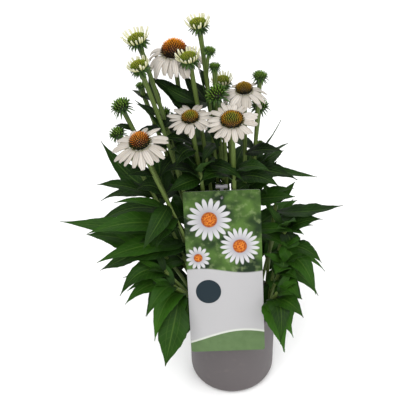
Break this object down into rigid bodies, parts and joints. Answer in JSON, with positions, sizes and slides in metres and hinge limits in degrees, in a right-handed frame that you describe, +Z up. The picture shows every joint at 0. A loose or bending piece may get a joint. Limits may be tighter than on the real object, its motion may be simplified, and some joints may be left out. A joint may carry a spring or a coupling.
{
  "type": "potted coneflower plant",
  "caption": "Flowering coneflower plant in a round grey plastic nursery pot, with white daisy-like flowers, green buds, leafy stems and a picture label on a stake.",
  "frame": {"origin": "centre of the pot's flat base, on the surface that it stands on", "axes": "+Z up along the pot's axis; the label faces -Y; +X is to the right of someone who reads the label"},
  "size_m": [0.3477, 0.266, 0.5193],
  "materials": {
    "pot": "smooth satin",
    "soil": "crumbly peat",
    "label": "printed film",
    "stake": "moulded",
    "foliage": "waxy leaf",
    "white_rays": "soft petal",
    "cream_rays": "soft petal",
    "cone": "dry bristles"
  },
  "bodies": {
    "root": {"pot": "pot", "soil": "soil", "label_card": "label", "label_stake": "stake", "flower_1": "foliage", "flower_2": "foliage", "flower_3": "foliage", "flower_4": "foliage", "flower_5": "foliage", "opening_1": "foliage", "opening_2": "foliage", "opening_3": "foliage", "opening_4": "foliage", "opening_5": "foliage", "bud_1": "foliage", "bud_2": "foliage", "bud_3": "foliage", "bud_4": "foliage", "bud_5": "foliage", "bud_6": "foliage", "bud_7": "foliage", "bud_8": "foliage", "shoot_1": "foliage", "shoot_2": "foliage", "shoot_3": "foliage", "shoot_4": "foliage", "shoot_5": "foliage", "shoot_6": "foliage", "shoot_7": "foliage", "shoot_8": "foliage", "shoot_9": "foliage", "shoot_10": "foliage", "shoot_11": "foliage", "shoot_12": "foliage", "shoot_13": "foliage", "shoot_14": "foliage", "flower_1_rays": "white_rays", "flower_2_rays": "white_rays", "flower_3_rays": "white_rays", "flower_4_rays": "white_rays", "flower_5_rays": "white_rays", "flower_1_cone": "cone", "flower_2_cone": "cone", "flower_3_cone": "cone", "flower_4_cone": "cone", "flower_5_cone": "cone", "opening_1_rays": "cream_rays", "opening_2_rays": "cream_rays", "opening_3_rays": "cream_rays", "opening_4_rays": "cream_rays", "opening_5_rays": "cream_rays"}
  },
  "joints": []
}
